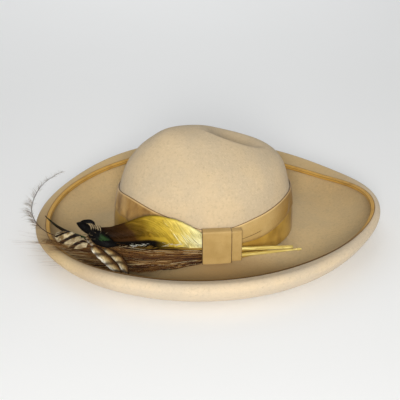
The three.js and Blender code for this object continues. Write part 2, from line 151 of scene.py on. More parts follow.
class Finish:
    # one material and its node tree
    def __init__(self, name, **constants):
        self.material = bpy.data.materials.new(name)
        self.material.use_nodes = True
        self.tree = self.material.node_tree
        self.shader = self.tree.nodes["Principled BSDF"]
        self.set(**constants)
        self.here = self.add("ShaderNodeTexCoord", out="Object")

    def feed(self, node, inputs):
        # a Value is linked, and anything else is set on the socket itself
        for key, value in inputs.items():
            if isinstance(value, Value):
                self.tree.links.new(value.socket, node.inputs[key])
            else:
                node.inputs[key].default_value = value

    def set(self, **inputs):
        self.feed(self.shader, {name.replace("_", " "): value for name, value in inputs.items()})

    def add(self, kind, settings=None, inputs=None, out=0):
        node = self.tree.nodes.new(kind)
        for key, value in (settings or {}).items():
            if key == "stops":
                ramp = node.color_ramp
                while len(ramp.elements) < len(value):
                    ramp.elements.new(0.5)
                for element, (position, *screen) in zip(ramp.elements, value):
                    element.position, element.color = position, (*tint(*screen), 1.0)
            else:
                setattr(node, key, value)
        self.feed(node, inputs or {})
        return Value(self, node.outputs[out])

    def noise(self, scale, detail=3.0, rough=0.5, at=None, spread=0.0):
        sockets = {"Scale": scale, "Detail": detail, "Roughness": rough, "Distortion": spread}
        return self.add("ShaderNodeTexNoise", {}, {"Vector": at or self.here, **sockets})

    def stretched(self, scale):
        return self.add("ShaderNodeMapping", {}, {"Vector": self.here, "Scale": scale})

    def ramp(self, value, *stops):
        # each stop is a place from 0 to 1 and its screen colour
        return self.add("ShaderNodeValToRGB", {"stops": stops}, {0: value})

    def attribute(self, name):
        return self.add("ShaderNodeAttribute", {"attribute_name": name}, out="Fac")

    def marks(self):
        return [self.attribute(name) for name in pointMarks]

    def spot(self, axis, at=None):
        return self.add("ShaderNodeSeparateXYZ", {}, {0: at or self.here}, out=axis)

    def uv(self, axis):
        return self.spot(axis, self.add("ShaderNodeUVMap", {"uv_map": "UVMap"}))

    def blend(self, under, over, share):
        under, over = [v if isinstance(v, Value) else (*v, 1.0) for v in (under, over)]
        node = {"data_type": "RGBA", "clamp_factor": True}
        return self.add("ShaderNodeMix", node, {0: share, 6: under, 7: over}, out=2)

    def coats(self, shade, *layers):
        # each layer is a colour and how much of it shows
        for colour, share in layers:
            shade = self.blend(shade, colour, share)
        return shade

    def relief(self, height, strength, distance):
        sockets = {"Height": height, "Strength": strength, "Distance": distance}
        return self.add("ShaderNodeBump", {}, sockets)


def tubeGrid(sides, rows):
    # open tube of unit radius, one row of faces between two rings, with a UV map round and along it
    bm = bmesh.new()
    bmesh.ops.create_cone(bm, cap_ends=False, segments=sides, radius1=1, radius2=1, depth=1)
    upright = [e for e in bm.edges if abs(e.verts[0].co.z - e.verts[1].co.z) > 0.5]
    bmesh.ops.subdivide_edges(bm, edges=upright, cuts=rows - 2)
    uv = bm.loops.layers.uv.new("UVMap")
    for face in bm.faces:
        centre = face.calc_center_median()
        middle = math.atan2(centre.y, centre.x) / fullTurn
        for loop in face.loops:
            share = math.atan2(loop.vert.co.y, loop.vert.co.x) / fullTurn
            share -= round(share - middle)
            loop[uv].uv = (share, loop.vert.co.z + 0.5)
    return bm


def shapeTube(bm, rows, where):
    # where(turn, row) gives each point in millimetres
    for v in bm.verts:
        turn = math.atan2(v.co.y, v.co.x) % fullTurn
        v.co = place(where(turn, round((v.co.z + 0.5) * (rows - 1))))


def sheetGrid(across, along):
    bm = bmesh.new()
    bm.loops.layers.uv.new("UVMap")
    bmesh.ops.create_grid(bm, x_segments=across, y_segments=along, size=0.5, calc_uvs=True)
    return bm


def shapeSheet(bm, where):
    for v in bm.verts:
        v.co = place(where(v.co.x + 0.5, v.co.y + 0.5))


def faceOut(bm, outwards):
    # one open sheet turned so that its faces look along outwards(centre)
    bmesh.ops.remove_doubles(bm, verts=bm.verts, dist=1e-6)
    bmesh.ops.recalc_face_normals(bm, faces=bm.faces)
    score = sum(f.normal.dot(outwards(f.calc_center_median())) * f.calc_area() for f in bm.faces)
    if score < 0:
        bmesh.ops.reverse_faces(bm, faces=bm.faces)


def closeUp(bm):
    # a closed body: the seam merged and its faces turned outwards
    bmesh.ops.remove_doubles(bm, verts=bm.verts, dist=1e-6)
    bmesh.ops.recalc_face_normals(bm, faces=bm.faces)
    if bm.calc_volume(signed=True) < 0:
        bmesh.ops.reverse_faces(bm, faces=bm.faces)


def newObject(name, data):
    made = bpy.data.objects.new(name, data)
    bpy.context.scene.collection.objects.link(made)
    return made


def finishPiece(name, bm, finish, slot, nodes, thick=0.0, offset=-1.0, levels=0):
    mesh = bpy.data.meshes.new(name)
    bm.to_mesh(mesh)
    bm.free()
    mesh.polygons.foreach_set("use_smooth", [True] * len(mesh.polygons))
    piece = newObject(name, mesh)
    mesh.materials.append(finish.material)
    if thick:
        wall = piece.modifiers.new("Wall", "SOLIDIFY")
        wall.thickness, wall.offset, wall.use_even_offset = thick * mm, offset, False
    if levels:
        rounder = piece.modifiers.new("Rounder", "SUBSURF")
        rounder.levels = rounder.render_levels = levels
    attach(piece, "root")
    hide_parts(*nodes)
    print("made", name, len(mesh.polygons), "faces")


# camera, at the photograph's viewing angle
view = {"target": (-7.3, -3.0, 46.0), "yaw": 6.0, "elevation": 26.0, "distance": 1095.0, "lens": 84.0,
        "sensor": 36.0}
yaw, tilt = math.radians(view["yaw"]), math.radians(view["elevation"])
ahead = Vector((math.sin(yaw) * math.cos(tilt), math.cos(yaw) * math.cos(tilt), -math.sin(tilt)))
cameraData = bpy.data.cameras.new("camera")
cameraData.lens, cameraData.sensor_width = view["lens"], view["sensor"]
camera = newObject("camera", cameraData)
camera.location = (Vector(view["target"]) - ahead * view["distance"]) * mm
camera.rotation_euler = ahead.to_track_quat("-Z", "Y").to_euler()
bpy.context.scene.camera = camera
print("camera set", view["distance"], "mm from the hat")

# felt
headOpening = (197, 167)  # inside, front to back and side to side
collarRoom = 3.0  # from the outside of the brim's collar to the outside of the crown
headLong, headWide = [size / 2 + feltThickness for size in headOpening]
crownLong, crownWide = headLong + collarRoom, headWide + collarRoom
felt = {
    "crown": (0.54, 0.423, 0.268),
    "brim": (0.59, 0.475, 0.325),
    "trough": (0.565, 0.415, 0.21),  # upper side of the brim, warmer and darker than the paler outside: painted bounce light and shade of the felt bowl
    "troughShadow": (0.37, 0.235, 0.095),  # painted shadow of the near rim on the near side of the trough
    "foot": (0.64, 0.56, 0.45),  # lower part of the near rim, paler with painted floor reflection
    "shaded": (0.36, 0.245, 0.115),  # beside the binding and at the left end
    "gains": {  # what a felt colour is multiplied by
        "greyer": (0.94, 0.95, 0.98), "warmer": (1.04, 1.02, 0.99), "darker": (0.76, 0.76, 0.76),
        "lighter": (1.16, 1.16, 1.16), "fleck": (0.6, 0.6, 0.6), "dentShade": (0.66, 0.66, 0.66)},
    "hollow": (0.029, 0.009, 0.036, 0.020),  # middle and half sizes of the painted shade in the dent, in metres
    "grain": 340.0,
    "nap": 980.0,
    "clouds": 22.0,
    "flecks": 240.0,
}


def makeFelt(name, base, deep=None, hollow=None):
    cloth = Finish(name, Sheen_Weight=0.08, Sheen_Roughness=0.6, Specular_IOR_Level=0.12)
    nap = cloth.noise(felt["nap"], 4, 0.7, spread=0.5)
    grain = cloth.noise(felt["grain"], 4, 0.65, spread=0.6)
    cloud = cloth.noise(felt["clouds"], 4, 0.6)
    cells = {"Vector": cloth.here, "Scale": felt["flecks"]}
    fleck = cloth.add("ShaderNodeTexVoronoi", {}, cells, out="Distance")

    def gained(colour, key):
        return tuple(c * g for c, g in zip(colour, felt["gains"][key]))

    def tones(colour):
        shade = cloth.blend(gained(colour, "greyer"), gained(colour, "warmer"), cloud.between(0.36, 0.64))
        return cloth.coats(shade, (gained(colour, "darker"), grain.between(0.5, 0.74) * 0.7),
                           (gained(colour, "lighter"), (0.48 - grain).between(0.0, 0.2) * 0.5),
                           (gained(colour, "lighter"), nap.between(0.5, 0.72) * 0.5),
                           (gained(colour, "fleck"), (1 - fleck.between(0.02, 0.09)) * 0.12))
    shade = tones(base)
    x, y, z = [cloth.spot(axis) for axis in "XYZ"]
    if hollow:
        # painted shade, darker inside the dent
        middleX, middleY, halfLength, halfWidth = hollow
        reach = ((x - middleX) / halfLength) ** 2 + ((y - middleY) / halfWidth) ** 2
        inDent = (1 - reach).between(0.0, 0.7) * z.between(0.10, 0.115)
        shade = cloth.blend(shade, gained(base, "dentShade"), inDent * 0.38)
    if deep:
        # golden inside and round the far rim, painted bounce light and shade; paler on the near rim and
        # underneath
        run = cloth.uv("Y")
        # painted light: the near side keeps the paler tone
        litNear = (0.015 - y + x * 0.5 + cloud * 0.02).between(0.0, 0.14)
        outside = run.between(0.485, 0.515) * litNear.larger(run.between(0.76, 0.86))
        # painted shadow of the near rim on the near side of the trough
        troughShadow = (-0.055 - y - x.size() * 0.25).between(0.0, 0.05)
        inside = cloth.blend(tones(deep), felt["troughShadow"], troughShadow)
        besideEdge = (1 - run.between(0.52, 0.62)) * run.between(0.49, 0.51)
        # painted floor reflection: the lower near rim paler
        foot = run.between(0.62, 0.72) * litNear
        leftEnd = (-0.140 - x).between(0.0, 0.04) * (1 - (y + 0.02).size().between(0.02, 0.085))
        shade = cloth.coats(inside, (shade, outside), (felt["shaded"], besideEdge * (1 - litNear) * 0.5),
                            (felt["foot"], foot * 0.5), (felt["shaded"], leftEnd * 0.8))
    lift = cloth.relief(nap * 0.5 + grain, 0.5, 0.0007)
    cloth.set(Base_Color=shade, Normal=lift, Roughness=0.86 + grain * 0.12)
    return cloth


crownFelt = makeFelt("crownFelt", felt["crown"], hollow=felt["hollow"])
brimFelt = makeFelt("brimFelt", felt["brim"], felt["trough"])

crown = {
    "rings": [  # height, and inset from the headline at the back, front, near and far sides
        (14.6, 0, 0, 0, 0), (36, 0.5, 0.5, 0, 0), (58, 4.8, 2.2, 3, 3), (76, 9, 6, 8, 8),
        (92, 15, 11, 16, 16), (104, 23, 21, 26, 26), (114, 31, 36, 37, 39), (123, 41, 55, 48, 52),
        (130, 50, 74, 58, 63), (134.5, 58, 90, 68, 73), (136.5, 67, 101, 78, 82), (137, 86, 122, 87, 91)],
    "dent": {"x": 34.5, "y": 6, "halfLength": 41, "halfWidth": 27, "depth": 15.5, "flare": 0.08,
             "near": 1.3, "far": 2.3},  # near and far say how steep its two slopes are
    "dentFrom": 0.35,
    "sides": 120,
    "rows": 56,
    "unevenness": 0.7,
    "unevenPitch": 0.022,  # waves of it in a millimetre
    "middle": Vector((0, 0, 0.05)),  # in metres, a point that all its walls turn away from
}


def crownRing(share):
    return [onCurve([ring[k] for ring in crown["rings"]], share) for k in range(5)]


def dentDepth(x, y):
    dent = crown["dent"]
    along = (x - dent["x"]) / dent["halfLength"]
    across = (y - dent["y"]) / (dent["halfWidth"] * (1 + dent["flare"] * along))
    reach = along ** 2 + across ** 2
    # steep at the near ridge, easing out on the far side
    steep = mix(dent["far"], dent["near"], smoothStep(0.25, -0.55, across))
    return dent["depth"] * max(1 - reach, 0) ** steep


def ringPlace(turn, share, proud=0.0):
    lift, back, front, near, far = crownRing(share)
    x = (back - front) / 2 + (crownLong - (back + front) / 2 + proud) * math.cos(turn)
    y = (near - far) / 2 + (crownWide - (near + far) / 2 + proud) * math.sin(turn)
    return x, y, lift


def crownPoint(turn, row):
    share = row / (crown["rows"] - 1)
    x, y, z = ringPlace(turn, share)
    if share > crown["dentFrom"]:
        z -= dentDepth(x, y)
    point = Vector((x, y, z))
    soft = smoothStep(0.2, 0.4, share) * crown["unevenness"]
    point += Vector((x, y, 0)).normalized() * noise.noise(point * crown["unevenPitch"]) * soft
    return point


bm = tubeGrid(crown["sides"], crown["rows"])
shapeTube(bm, crown["rows"], crownPoint)
faceOut(bm, lambda c: c - crown["middle"])
finishPiece("crown_felt", bm, crownFelt, "felt", ["crown"], thick=feltThickness, levels=1)

brim = {
    "stations": [  # each 30 degrees from the front round by the far side
        {"width": 111, "lift": 40, "pitch": 64, "turnIn": 5, "droop": 12},
        {"width": 107.5, "lift": 35.5, "pitch": 66, "turnIn": 17.5, "droop": 17},
        {"width": 100, "lift": 44, "pitch": 70, "turnIn": 22, "droop": 22},
        {"width": 95, "lift": 51, "pitch": 72, "turnIn": 18, "droop": 20},
        {"width": 93, "lift": 46, "pitch": 70, "turnIn": 15, "droop": 20},
        {"width": 93, "lift": 35, "pitch": 66, "turnIn": 8, "droop": 16},
        {"width": 97, "lift": 28, "pitch": 62, "turnIn": 9, "droop": 12},
        {"width": 92, "lift": 28, "pitch": 64, "turnIn": 4.5, "droop": 16},
        {"width": 90, "lift": 31, "pitch": 68, "turnIn": 12, "droop": 18},
        {"width": 89, "lift": 32, "pitch": 71, "turnIn": 14, "droop": 18},
        {"width": 91, "lift": 33, "pitch": 69, "turnIn": 14, "droop": 18},
        {"width": 97, "lift": 36, "pitch": 66, "turnIn": 4, "droop": 16}],
    "headline": 12.0,
    "collar": 12.0,
    "fold": 3.0,
    "roll": 5.0,
    "rest": 8.0,
    "fallPower": 1.6,
    "sides": 144,
}


def brimLine(turn):
    # middle line of the felt at one turn: out from the collar, up, and heading
    at = {key: around(brim["stations"], key, turn) for key in brim["stations"][0]}
    half, fold, roll = feltThickness / 2, brim["fold"], brim["roll"]
    line = [(0.0, brim["headline"] + brim["collar"], -math.pi / 2)]
    for heading in (-90, -70, -50, -30, -12):
        bend = math.radians(heading)
        line.append((fold * (1 + math.sin(bend)), brim["headline"] + fold * (1 - math.cos(bend)), bend))
    pitch = math.radians(at["pitch"])
    middleOut, middleUp = at["width"] - roll - half, at["lift"] - roll - half
    riseTop = middleUp - roll * math.cos(pitch)
    riseRadius = (riseTop - half) / (1 - math.cos(pitch))
    restEnd = middleOut + (roll - riseRadius) * math.sin(pitch)
    restStart = restEnd - brim["rest"]
    out, up, _ = line[-1]
    fall, run, power = up - half, restStart - out, brim["fallPower"]
    for share in (0.12, 0.28, 0.46, 0.64, 0.82):
        slope = power * fall * (1 - share) ** (power - 1) / run
        line.append((out + share * run, half + fall * (1 - share) ** power, -math.atan(slope)))
    line += [(restStart, half, 0.0), (mix(restStart, restEnd, 0.5), half, 0.0), (restEnd, half, 0.0)]
    for share in (0.2, 0.4, 0.6, 0.8):
        bend = share * pitch
        line.append((restEnd + riseRadius * math.sin(bend), half + riseRadius * (1 - math.cos(bend)), bend))
    inward = math.radians(180 + at["droop"])
    for share in (0, 0.17, 0.33, 0.5, 0.67, 0.83, 1):
        bend = mix(pitch, inward, share)
        line.append((middleOut + roll * math.sin(bend), middleUp - roll * math.cos(bend), bend))
    out, up, _ = line[-1]
    for share in (0.33, 0.67, 1):
        reach = share * at["turnIn"]
        line.append((out + reach * math.cos(inward), up + reach * math.sin(inward), inward))
    return line


def brimPlace(turn, out, up):
    # a place square to the headline
    normal = Vector((math.cos(turn) / headLong, math.sin(turn) / headWide)).normalized()
    reach = out - feltThickness / 2
    x, y = headLong * math.cos(turn) + reach * normal.x, headWide * math.sin(turn) + reach * normal.y
    return Vector((x, y, up))


def beside(step, distance):
    out, up, heading = step
    return out - distance * math.sin(heading), up + distance * math.cos(heading)


brimLines = {}  # kept, because every row of the tube asks for the same ones


def lineAt(turn):
    key = round(turn, 6)
    if key not in brimLines:
        brimLines[key] = brimLine(turn)
    return brimLines[key]


brimRows = 2 * len(brimLine(0.0)) + 1


def brimPoint(turn, row):
    # along the upper side to the edge, and back along the under side
    line, half = lineAt(turn), feltThickness / 2
    row %= brimRows - 1
    if row < len(line):
        return brimPlace(turn, *beside(line[row], half))
    return brimPlace(turn, *beside(line[2 * len(line) - 1 - row], -half))


bm = tubeGrid(brim["sides"], brimRows)
shapeTube(bm, brimRows, brimPoint)
closeUp(bm)
finishPiece("brim_felt", bm, brimFelt, "felt", ["brim"], levels=1)

# binding folded over the brim's edge
binding = {"under": 3.4, "top": 4.7, "topNear": 1.6, "gap": 0.25, "thick": 0.7, "ribs": 1150, "sides": 180}
ribbon = Finish("ribbon", Sheen_Weight=0.05, Sheen_Roughness=0.4, Specular_IOR_Level=0.25)
rib = (ribbon.uv("X") * (binding["ribs"] * fullTurn)).sine()
width = ribbon.uv("Y")
groove = (1 - (width - 0.74).size().between(0.012, 0.04)) * 0.75
nearShadow = (-0.05 - ribbon.spot("Y")).between(0.0, 0.06)
# painted shade: a dark groove along the fold; dark lines where both legs end, seams with painted shadow along
# them
ribShade = ribbon.coats(
    tint(178, 131, 48), (tint(210, 166, 82), rib * 0.35 + 0.5),
    (tint(150, 106, 40), ribbon.noise(60, 3).between(0.5, 0.75) * 0.5),
    (tint(104, 70, 26), groove),
    (tint(96, 64, 24), width.between(0.965, 0.985) * 0.8))
# painted shadow over the under leg and on the near side
ribShade = ribbon.coats(tint(64, 38, 14), (ribShade, width.between(0.36, 0.44)),
                        (tint(92, 64, 30), nearShadow * 0.8))
ribbon.set(Base_Color=ribShade, Normal=ribbon.relief(rib, 0.5, 0.0002),
           Roughness=0.42 + ribbon.noise(200) * 0.2)


def bindingSpots(turn=0.0):
    # the leg on top is narrower on the near side
    inner, end = feltThickness / 2 + binding["gap"], binding["gap"]
    narrowed = smoothStep(0.1, 0.75, -math.sin(turn))
    under, top = -binding["under"], -mix(binding["top"], binding["topNear"], narrowed)
    return [(under, inner), (mix(under, end, 0.35), inner + 0.12), (mix(under, end, 0.75), inner + 0.1),
            (end - 0.4, inner), (end + 0.15, inner * 0.6), (end + 0.3, 0.0), (end + 0.15, -inner * 0.6),
            (end - 0.4, -inner), (mix(top, end, 0.55), -inner - 0.05), (top, -inner)]


def bindingPoint(turn, row):
    out, up, heading = lineAt(turn)[-1]
    along, side = bindingSpots(turn)[row]
    step = (out + along * math.cos(heading), up + along * math.sin(heading), heading)
    return brimPlace(turn, *beside(step, side))


bindingRows = len(bindingSpots())
bm = tubeGrid(binding["sides"], bindingRows)
shapeTube(bm, bindingRows, bindingPoint)
faceOut(bm, lambda c: Vector((-c.x, -c.y, 0)))
finishPiece("edge_binding", bm, ribbon, "binding", ["brim_binding"], thick=binding["thick"], offset=1.0,
            levels=1)

# satin band in two layers
band = {
    "stations": [  # each 30 degrees from the front round by the far side
        {"top": 66, "lap": 50, "proud": 0.3}, {"top": 66, "lap": 44, "proud": 0.6},
        {"top": 66, "lap": 40, "proud": 0.4}, {"top": 66, "lap": 40, "proud": 0.4},
        {"top": 66, "lap": 40, "proud": 0.4}, {"top": 66, "lap": 42, "proud": 0.6},
        {"top": 67, "lap": 44, "proud": 0.3}, {"top": 72, "lap": 46, "proud": 1.2},
        {"top": 64, "lap": 38, "proud": 0.6}, {"top": 50.8, "lap": 34, "proud": 0},
        {"top": 59, "lap": 34, "proud": 2.0}, {"top": 66, "lap": 44, "proud": 1.4}],
    "foot": 13.8,
    "ease": 0.35,
    "layer": 0.7,
    "thick": 0.8,
    "waves": {"lower": 0.4, "upper": 0.8},
    "creases": [  # turn in degrees, height, size round and up, slant, depth
        (188, 54, 8, 14, 0.3, 0.8), (199, 46, 7, 11, -0.4, 1.0), (207, 58, 6, 9, 0.5, 0.9),
        (214, 47, 8, 10, 0.6, 0.9), (224, 44, 8, 10, 0.5, 0.7), (186, 34, 5, 18, 0.0, 0.7),
        (170, 42, 6, 20, 0.1, 0.7), (330, 52, 6, 7, -0.5, 1.0), (342, 42, 5, 12, -0.4, 1.1),
        (352, 32, 5, 14, 0.0, 1.0), (20, 44, 5, 18, 0.1, 0.7), (60, 40, 5, 18, -0.1, 0.7),
        (110, 44, 5, 18, 0.1, 0.7), (140, 38, 5, 18, -0.1, 0.7)],
    "foldLine": (-0.203, 0.24, -0.160, 0.34, 0.022),  # from and to on the upper layer's map, and width, of a line of painted shade along a fold
    "sides": 240,
    "rows": 22,
}


def crownShare(lift):
    # how far along the crown's rings a height lies: evenly on its foot, and found by halving above that
    steps, lowest, second = len(crown["rings"]) - 1, crown["rings"][0][0], crown["rings"][1][0]
    if lift <= second:
        return max(mix(0, 1 / steps, (lift - lowest) / (second - lowest)), 0.0)
    low, high = 1 / steps, 5 / steps
    for _ in range(18):
        share = (low + high) / 2
        if crownRing(share)[0] > lift:
            high = share
        else:
            low = share
    return share


def wallPoint(turn, lift, proud):
    x, y, _ = ringPlace(turn, crownShare(lift), proud)
    return Vector((x, y, lift))


def crease(turn, lift):
    degrees, total = math.degrees(turn), 0.0
    for middle, height, wide, tall, slant, depth in band["creases"]:
        away = (degrees - middle + 180) % 360 - 180 + slant * (lift - height) * 0.5
        fold = bump(away, 0, wide * 0.5) - 0.7 * bump(away, wide * 0.9, wide * 0.6)
        total += depth * fold * bump(lift, height, tall)
    return total


def bandWave(turn, lift):
    spot = Vector((math.cos(turn) * 3.2, math.sin(turn) * 3.2, lift * 0.045))
    return noise.noise(spot) * 0.55 + crease(turn, lift)


def lowerBand(turn, row):
    share = row / (band["rows"] - 1)
    lift = mix(band["foot"], around(band["stations"], "top", turn) - 0.6, share)
    hold = smoothStep(0, 0.15, share) * smoothStep(1, 0.9, share)
    wave = band["waves"]["lower"] * bandWave(turn, lift) * hold
    return wallPoint(turn, lift, band["ease"] + 0.1 + wave)


def upperBand(turn, row):
    share = row / (band["rows"] - 1)
    at = {key: around(band["stations"], key, turn) for key in band["stations"][0]}
    lift = mix(at["lap"], at["top"], share)
    puff = math.sin(min(share * 1.1 + 0.1, 1) * math.pi) * at["proud"] * 0.55
    wave = band["waves"]["upper"] * bandWave(turn, lift) * smoothStep(1, 0.85, share)
    out = band["ease"] + band["layer"] + puff + wave
    # the foot is a rounded fold, the top edge lies close to the crown
    fold = 0.3 * bump(share, 0.06, 0.06) - 0.8 * (1 - smoothStep(0, 0.05, share))
    out += fold - 0.9 * smoothStep(0.92, 1, share)
    return wallPoint(turn, lift, max(out, 0.2))


def makeSatin(name, tones, darkPatches):
    cloth = Finish(name, Sheen_Weight=0.06, Sheen_Roughness=0.35, Specular_IOR_Level=0.3)
    thread = cloth.noise(1.0, 2, 0.5, at=cloth.stretched((2600, 2600, 240)))
    cloud = cloth.noise(34, 3, 0.5)
    patch = cloth.noise(70, 2, 0.5, at=cloth.stretched((1, 1, 0.45)))
    # soft darker patches, longer up than across
    shade = cloth.coats(tones["base"], (tones["light"], cloud.between(0.38, 0.62)),
                        (tones["dark"], patch.between(0.46, 0.66) * darkPatches))
    return cloth, shade, thread, cloud


def finishSatin(cloth, shade, thread, cloud, glow, roughness):
    shade = cloth.blend(shade, glow, thread.between(0.45, 0.8) * 0.22)
    cloth.set(Base_Color=shade, Normal=cloth.relief(thread, 0.12, 0.0003), Roughness=roughness + cloud * 0.16)


def lineOn(cloth, u0, v0, u1, v1, width):
    # soft straight line on the piece's own map
    u, v = cloth.uv("X"), cloth.uv("Y")
    off = (v - ((u - u0) * ((v1 - v0) / (u1 - u0)) + v0)).size()
    inside = u.between(u0 - 0.002, u0 + 0.002) * (1 - u.between(u1 - 0.006, u1 + 0.002))
    return (width - off).between(0.0, width * 0.7) * inside


leftTones = {"base": tint(154, 116, 58), "light": tint(190, 152, 92), "dark": tint(98, 64, 24)}
rightTones = {"base": tint(182, 150, 92), "light": tint(194, 164, 108)}
lowerTones = {"base": tint(164, 126, 50), "light": tint(184, 146, 64), "dark": tint(108, 74, 22)}
satinUpper, shade, thread, cloud = makeSatin("satinUpper", leftTones, 0.65)
smooth = satinUpper.blend(rightTones["base"], rightTones["light"], cloud.between(0.38, 0.62))
sideways, edge = satinUpper.spot("X"), satinUpper.uv("Y")
smoothed = sideways.between(-0.04, 0.03).larger(satinUpper.spot("Y").between(0.0, 0.04))
shade = satinUpper.coats(
    shade, (smooth, smoothed),
    # painted shade: darker towards the right end
    (tint(134, 94, 14), (sideways + cloud * 0.03).between(0.07, 0.11) * 0.9),
    (tint(222, 190, 136), edge.between(0.91, 0.945) * 0.5),
    # painted shadow: a thin dark line along the top edge, where it meets the crown
    (tint(92, 58, 22), edge.between(0.962, 0.982) * 0.85),
    # painted shade along a fold
    (tint(58, 36, 14), lineOn(satinUpper, *band["foldLine"]) * 0.9),
    # painted shade: darker towards the layer's folded foot
    (tint(132, 96, 40), (1 - edge.between(0.0, 0.22)) * 0.5),
    (tint(96, 66, 28), (1 - edge.between(0.0, 0.02)) * 0.4))
finishSatin(satinUpper, shade, thread, cloud, tint(222, 190, 134), 0.34)
satinLower, shade, thread, cloud = makeSatin("satinLower", lowerTones, 0.28)
finishSatin(satinLower, shade, thread, cloud, tint(186, 150, 84), 0.38)

for name, shape, finish in (("band_lower", lowerBand, satinLower), ("band_upper", upperBand, satinUpper)):
    bm = tubeGrid(band["sides"], band["rows"])
    shapeTube(bm, band["rows"], shape)
    faceOut(bm, lambda c: Vector((c.x, c.y, 0)))
    finishPiece(name, bm, finish, "satin", ["band"], thick=band["thick"], offset=1.0, levels=1)

# keeper, a loop of flat satin with its end lapped at the right
keeper = {"left": -12.0, "right": 21.0, "top": 54.4, "bottom": 13.6, "corner": 1.6,
          "band": 2.0, "room": 5.0, "wall": 1.0,  # what lies between the crown and its outside
          "endRight": 32.0, "lap": 3.0, "endFit": {"setBack": 1.2, "drop": 0.9, "lift": 2.0},
          "thick": 0.9, "parts": (30, 48)}
keeperOuter = crownWide + keeper["band"] + keeper["room"] + keeper["wall"]


def loopPath(setBack, drop, lift):
    # seen from the side: over the band's top, down the front and under its foot, in distance and height
    out, top, bottom = keeperOuter - 0.5 - setBack, keeper["top"] - 0.5 - drop, keeper["bottom"] + 0.5 + lift
    inner, c = crownWide - 1.2, keeper["corner"]
    path = [(inner, top), (mix(inner, out, 0.4), top), (out - c, top - 0.1), (out - 0.4 * c, top - 0.3 * c),
            (out, top - c), (out + 0.25, mix(top, bottom, 0.3)), (out + 0.3, mix(top, bottom, 0.55)),
            (out + 0.15, mix(top, bottom, 0.8)), (out, bottom + c), (out - 0.4 * c, bottom + 0.3 * c),
            (out - c, bottom), (mix(inner + 3.2, out, 0.4), bottom + 0.1), (inner + 3.4, bottom + 0.2)]
    return [Vector((0, -y, z)) for y, z in path]


def makeKeeper(name, left, right, setBack=0.0, drop=0.0, lift=0.0):
    path = loopPath(setBack, drop, lift)
    bm = sheetGrid(*keeper["parts"])

    def where(u, v):
        spot = onCurve(path, v)
        wave = noise.noise(Vector((u * 2.5, v * 7, left))) * 0.25
        slack = 0.35 * math.sin(u * math.pi) * math.sin(v * math.pi)
        x = mix(left, right, u) + 0.5 * (v - 0.5) * smoothStep(0.2, 0.8, v)
        return Vector((x, spot.y - wave - slack, spot.z + 0.15 * math.sin(u * 5 + v * 3)))
    shapeSheet(bm, where)
    faceOut(bm, lambda c: Vector((0, -1, 0)))
    finishPiece(name, bm, satinFlat, "satin", ["band_keeper"], thick=keeper["thick"], offset=0.0, levels=1)


satinFlat = Finish("satinFlat", Sheen_Weight=0.15, Sheen_Roughness=0.4, Specular_IOR_Level=0.3)
thread = satinFlat.noise(1.0, 2, 0.5, at=satinFlat.stretched((2400, 300, 300)))
cloud = satinFlat.noise(50, 3, 0.5)
# painted shadow along the keeper's side edges
edgeShadow = (satinFlat.uv("X") - 0.5).size().between(0.455, 0.49)
flatTone = satinFlat.coats(tint(176, 144, 86), (tint(188, 156, 98), cloud.between(0.35, 0.65)),
                           (tint(146, 110, 58), thread.between(0.5, 0.8) * 0.3),
                           (tint(62, 38, 14), edgeShadow * 0.85))
satinFlat.set(Base_Color=flatTone, Normal=satinFlat.relief(thread, 0.15, 0.0003),
              Roughness=0.42 + cloud * 0.15)
makeKeeper("keeper_panel", keeper["left"], keeper["right"])
makeKeeper("keeper_end", keeper["right"] - keeper["lap"], keeper["endRight"], **keeper["endFit"])


def surfaceOn(rows, face, bulge, wave, seed, ragged):
    # a vane laid along a route: share along, share across from -0.5 to 0.5, and height off it
    points, widths, face = vectors(rows), [row[3] for row in rows], Vector(face)

    def where(u, v, height=0.0):
        centre = onCurve(points, u)
        ahead = (onCurve(points, u + 0.01) - onCurve(points, u - 0.01)).normalized()
        across = ahead.cross(face).normalized()
        out = across.cross(ahead).normalized()
        width = max(onCurve(widths, u), 0.2)
        width *= 1 + ragged * noise.noise(Vector((u * 16, 2 if v > 0 else -2, seed)))
        rise = bulge * width * (0.25 - v * v) * 4 + wave * noise.noise(Vector((u * 6, v * 3, seed)))
        return centre + across * (v * width) + out * (rise + height)
    return where


strandFace = Vector((0, -1, 0.2))  # a flat strand turns its broad side to this
barb = {"thick": 0.25, "farthest": 0.985}  # past this share of the route a barb would fold flat
quarters = (0, 0.25, 0.5, 0.75, 1)


def vertsOf(geom):
    return [part for part in geom if isinstance(part, bmesh.types.BMVert)]


